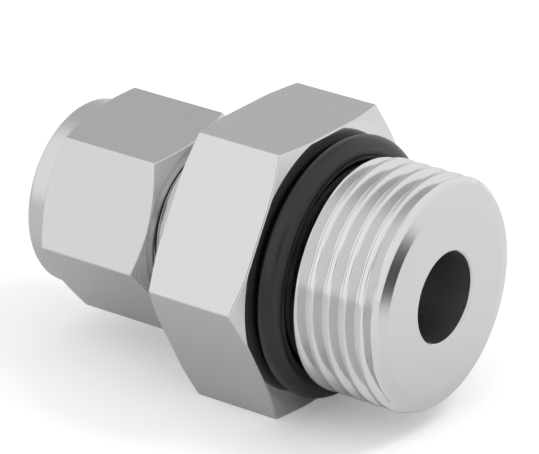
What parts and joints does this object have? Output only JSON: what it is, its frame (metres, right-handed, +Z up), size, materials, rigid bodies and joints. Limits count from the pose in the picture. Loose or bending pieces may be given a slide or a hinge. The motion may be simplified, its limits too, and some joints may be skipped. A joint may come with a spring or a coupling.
{
  "type": "male tube connector",
  "caption": "Straight compression tube fitting with a hexagonal body, a hexagonal nut over ferrules, and an O-ring sealed male stud end.",
  "frame": {"origin": "on the bore's axis, in the plane of the body hexagon's shoulder that the O-ring seals against", "axes": "+X along the bore, out of the stud end; +Z up, with the connector lying on a flat of its body hexagon"},
  "size_m": [0.05, 0.0366, 0.0318],
  "materials": {
    "body_steel": "turned and milled stainless steel, fine satin",
    "nut_steel": "turned and milled stainless steel, fine satin",
    "ferrule_steel": "turned stainless steel, polished",
    "o_ring_rubber": "moulded black fluorocarbon rubber, soft sheen"
  },
  "bodies": {
    "fitting_body": {"body": "body_steel", "o_ring": "o_ring_rubber"},
    "ferrule_set": {"front_ferrule": "ferrule_steel", "back_ferrule": "ferrule_steel"},
    "tube_nut": {"nut": "nut_steel"}
  },
  "joints": [
    {"name": "nut_travel", "type": "slide", "parent": "fitting_body", "child": "ferrule_set", "axis": [-1, 0, 0], "range_m": [0, 0.00635]},
    {"name": "nut_turn", "type": "hinge", "parent": "ferrule_set", "child": "tube_nut", "pos_m": [-0.0255, 0, 0], "axis": [-1, 0, 0], "range_deg": [0, 1800]}
  ],
  "couplings": [
    {"joint": "nut_travel", "follows": "nut_turn", "m_per_rad": 0.00020213}
  ]
}
